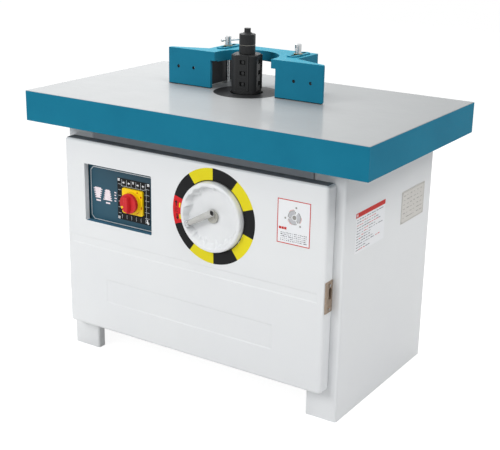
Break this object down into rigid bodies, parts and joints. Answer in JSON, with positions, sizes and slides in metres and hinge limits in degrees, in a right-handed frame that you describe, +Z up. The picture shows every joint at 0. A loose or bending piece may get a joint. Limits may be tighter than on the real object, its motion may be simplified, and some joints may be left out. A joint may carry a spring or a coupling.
{
  "type": "spindle moulder",
  "caption": "Spindle moulder: cast table on a sheet cabinet with a hinged door, a handwheel that raises the vertical cutter spindle, a sliding fence with clamps, and a rotary switch.",
  "frame": {"origin": "on the floor under the middle of the table", "axes": "+X to the right along the table's length, -Y towards the operator at the door, +Z up"},
  "size_m": [1.2, 0.708, 1.056],
  "materials": {
    "cast_table": "ground top, painted rim",
    "black_steel": "blackened",
    "white_paint": "smooth gloss paint",
    "blue_paint": "gloss paint",
    "grey_casting": "machined casting",
    "steel": "machined",
    "bronze": "machined",
    "belt_rubber": "matt",
    "panel_blue": "satin",
    "black_plastic": "satin",
    "yellow_plastic": "gloss",
    "red_plastic": "gloss",
    "grip_plastic": "satin",
    "latch_metal": "satin",
    "plate_aluminium": "satin"
  },
  "bodies": {
    "frame": {"table": "cast_table", "table_ring": "black_steel", "table_bolts": "steel", "left_side_panel": "white_paint", "right_side_panel": "white_paint", "front_rail": "white_paint", "back_panel": "white_paint", "small_screws": "steel", "floor_tray": "white_paint", "cable_gland": "black_plastic", "blank_plate": "plate_aluminium", "door_catch": "black_plastic", "cabinet_hinges": "white_paint", "control_panel": "panel_blue", "legend_plate": "black_plastic", "switch_plate": "yellow_plastic", "switch_body": "black_plastic", "switch_box": "white_paint", "front_post": "white_paint", "shaft_bearing": "grey_casting", "slide_column": "grey_casting", "gear_bracket": "grey_casting", "screw_bearing": "grey_casting"},
    "door": {"door": "white_paint", "edge_pull": "latch_metal", "door_hinges": "white_paint"},
    "switch": {"switch_knob": "red_plastic"},
    "wheel": {"handwheel": "white_paint", "wheel_shaft": "steel", "drive_gear": "steel", "hub_screw": "steel", "handle_fork": "steel"},
    "handle": {"handle_stem": "steel"},
    "grip": {"handle_grip": "grip_plastic"},
    "screw": {"lift_screw": "steel", "driven_gear": "steel"},
    "carriage": {"carriage": "grey_casting", "lift_nut": "bronze", "spindle_bearings": "steel", "motor_plate": "grey_casting", "motor_housing": "blue_paint", "fan_cover": "blue_paint", "terminal_box": "blue_paint", "drive_belt": "belt_rubber"},
    "spindle": {"spindle_shaft": "black_steel", "spindle_pulley": "grey_casting", "cutter_block": "black_steel", "cutter_knives": "steel", "spacing_collars": "black_steel", "draw_bolt": "black_steel"},
    "rotor": {"motor_shaft": "steel", "motor_pulley": "grey_casting"},
    "fence": {"fence_casting": "blue_paint", "fence_shields": "black_steel"},
    "left_clamp": {"left_clamp_screw": "steel"},
    "right_clamp": {"right_clamp_screw": "steel"},
    "left_bar": {"left_clamp_bar": "steel"},
    "right_bar": {"right_clamp_bar": "steel"}
  },
  "joints": [
    {"name": "door_swing", "type": "hinge", "parent": "frame", "child": "door", "pos_m": [-0.4875, -0.284, 0.4075], "axis": [0, 0, -1], "range_deg": [0, 110]},
    {"name": "switch_turn", "type": "hinge", "parent": "frame", "child": "switch", "pos_m": [-0.2215, -0.31, 0.546], "axis": [0, 1, 0], "range_deg": [-90, 90]},
    {"name": "handwheel_turn", "type": "hinge", "parent": "frame", "child": "wheel", "pos_m": [0.091, -0.337, 0.563], "axis": [0, 1, 0], "range_deg": [-6480, 720]},
    {"name": "handle_fold", "type": "hinge", "parent": "wheel", "child": "handle", "pos_m": [0.011, -0.336, 0.531], "axis": [0.4848, 0, -0.8746], "range_deg": [0, 90]},
    {"name": "grip_spin", "type": "hinge", "parent": "handle", "child": "grip", "pos_m": [0.011, -0.336, 0.531], "axis": [0.8746, 0, 0.4848], "continuous": true},
    {"name": "screw_turn", "type": "hinge", "parent": "frame", "child": "screw", "pos_m": [0.091, 0.0525, 0.563], "axis": [0, 0, 1], "range_deg": [-721, 6481]},
    {"name": "carriage_lift", "type": "slide", "parent": "frame", "child": "carriage", "axis": [0, 0, 1], "range_m": [-0.09, 0.01]},
    {"name": "spindle_spin", "type": "hinge", "parent": "carriage", "child": "spindle", "pos_m": [-0.041, 0.0525, 0.7], "axis": [0, 0, 1], "continuous": true},
    {"name": "motor_spin", "type": "hinge", "parent": "carriage", "child": "rotor", "pos_m": [-0.291, 0.0525, 0.55], "axis": [0, 0, 1], "continuous": true},
    {"name": "fence_slide", "type": "slide", "parent": "frame", "child": "fence", "axis": [0, 1, 0], "range_m": [-0.035, 0.03]},
    {"name": "left_clamp_turn", "type": "hinge", "parent": "frame", "child": "left_clamp", "pos_m": [-0.173, 0.141, 0.95], "axis": [0, 0, 1], "range_deg": [-180, 180]},
    {"name": "left_bar_slide", "type": "slide", "parent": "left_clamp", "child": "left_bar", "axis": [0.4695, 0.8829, 0], "range_m": [-0.031, 0.005]},
    {"name": "right_clamp_turn", "type": "hinge", "parent": "frame", "child": "right_clamp", "pos_m": [0.091, 0.141, 0.95], "axis": [0, 0, 1], "range_deg": [-180, 180]},
    {"name": "right_bar_slide", "type": "slide", "parent": "right_clamp", "child": "right_bar", "axis": [-0.342, 0.9397, 0], "range_m": [-0.018, 0.018]}
  ],
  "couplings": [
    {"joint": "screw_turn", "follows": "handwheel_turn", "ratio": -1},
    {"joint": "carriage_lift", "follows": "handwheel_turn", "m_per_rad": 0.00079577},
    {"joint": "motor_spin", "follows": "spindle_spin", "ratio": 0.84589}
  ]
}
